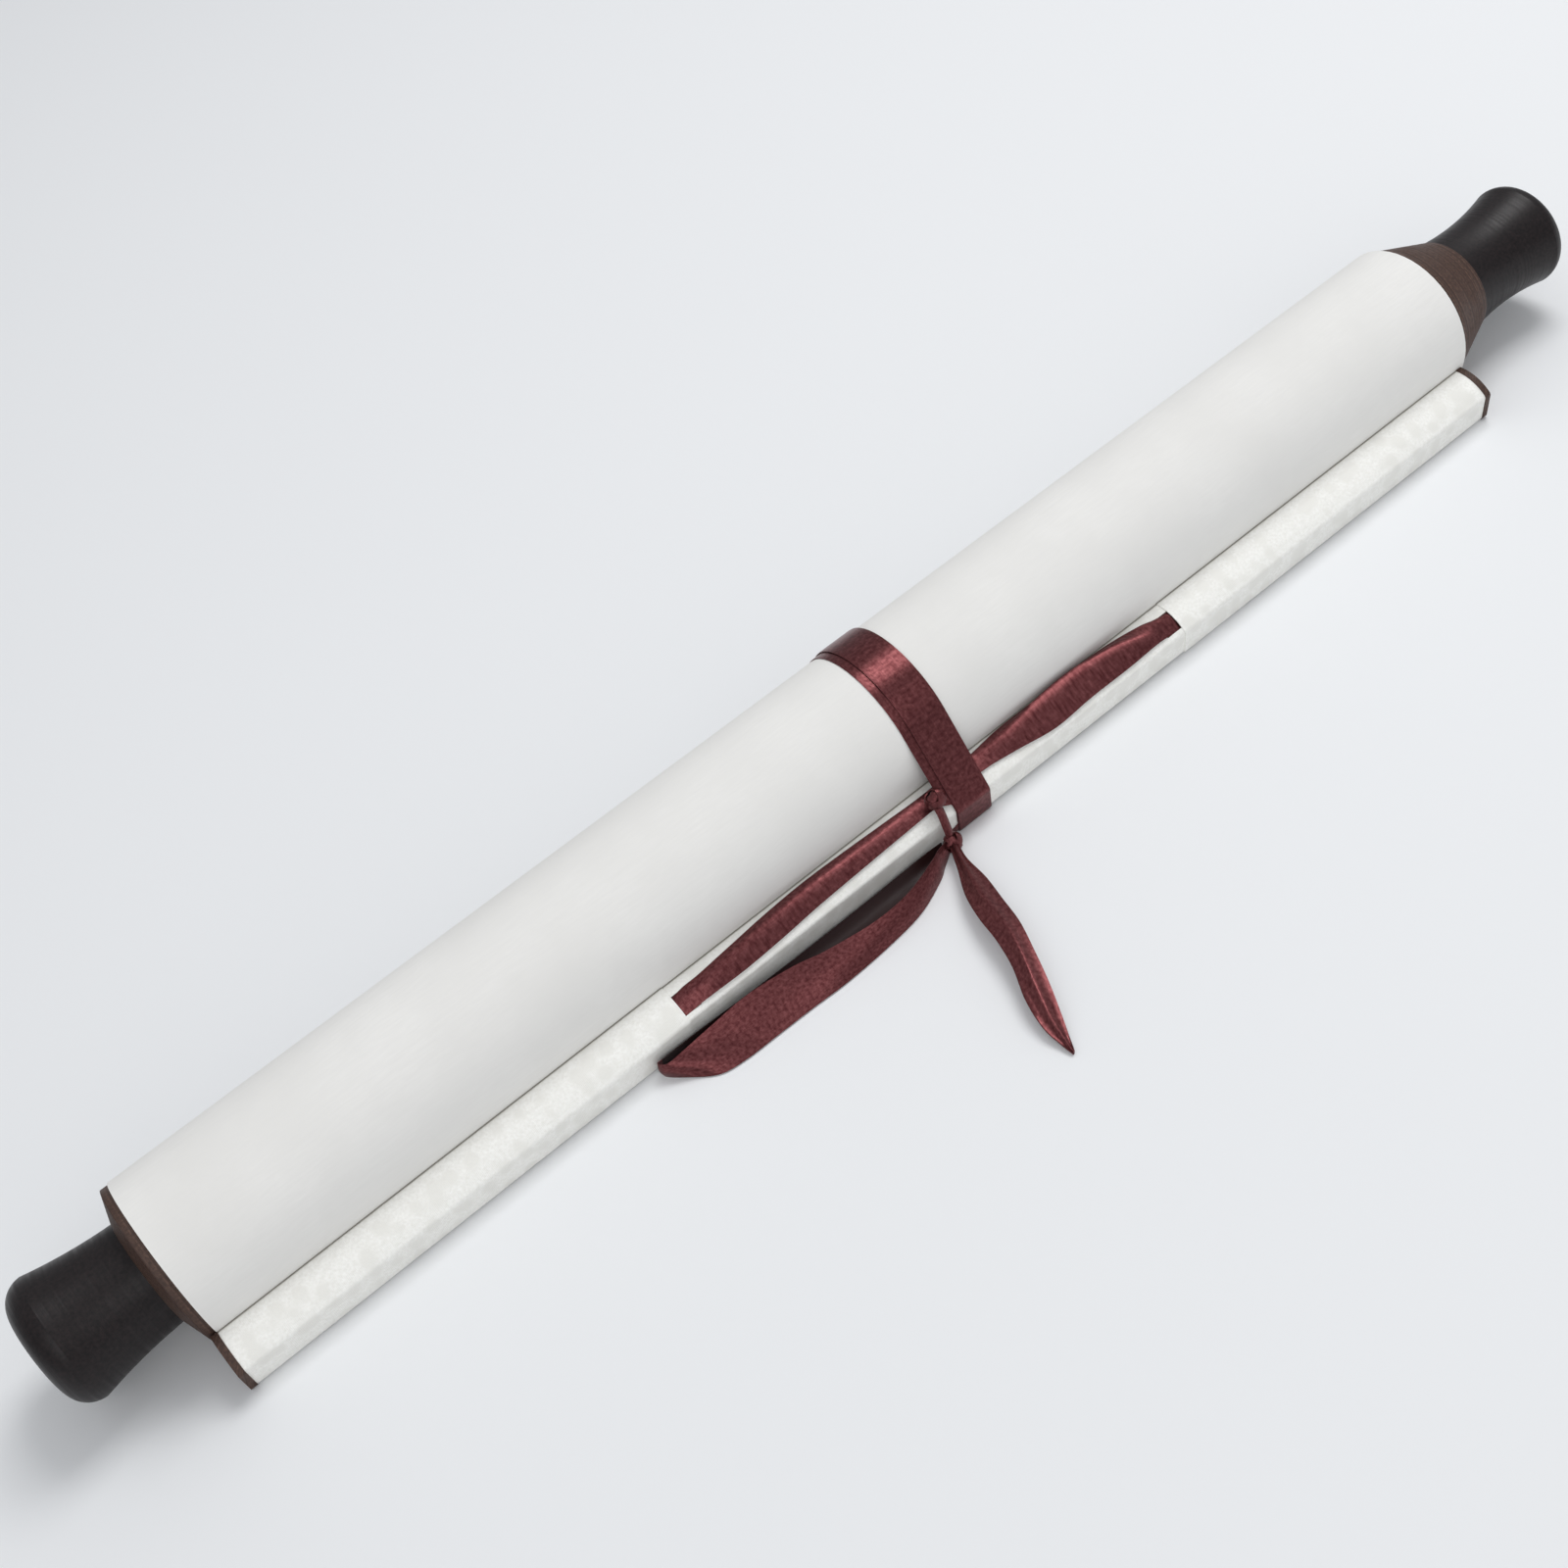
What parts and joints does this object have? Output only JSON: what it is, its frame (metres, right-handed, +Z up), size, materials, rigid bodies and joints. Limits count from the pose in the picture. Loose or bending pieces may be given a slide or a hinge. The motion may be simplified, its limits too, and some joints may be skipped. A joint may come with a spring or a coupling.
{
  "type": "hanging scroll",
  "caption": "Hanging scroll rolled up on its wooden roller and tied with a satin ribbon round the roll and its silk-covered batten.",
  "frame": {"origin": "on the flat spot that the roll lies on, beneath the middle of the roll's length", "axes": "+X along the roll towards the long collar, +Z up, the batten and the tie ribbon's loop and tail on the -Y side"},
  "size_m": [0.4529, 0.1134, 0.0402],
  "materials": {
    "scroll_paper": "matt off-white mounting paper",
    "plain_wood": "planed, unfinished",
    "brown_collar": "turned, matt reddish-brown stain",
    "dark_knob": "turned, stained near black, semi-gloss",
    "white_silk": "white silk damask glued over wood",
    "maroon_satin": "maroon satin ribbon"
  },
  "bodies": {
    "root": {"scroll_roll": "scroll_paper", "roller": "plain_wood", "collar_left": "brown_collar", "collar_right": "brown_collar", "knob_left": "dark_knob", "knob_right": "dark_knob", "batten_core": "plain_wood", "batten_wrap": "white_silk", "cover_left": "white_silk", "cover_right": "white_silk", "end_plate_left": "brown_collar", "end_plate_right": "brown_collar", "hanging_ribbon": "maroon_satin", "tie_ribbon": "maroon_satin"}
  },
  "joints": []
}
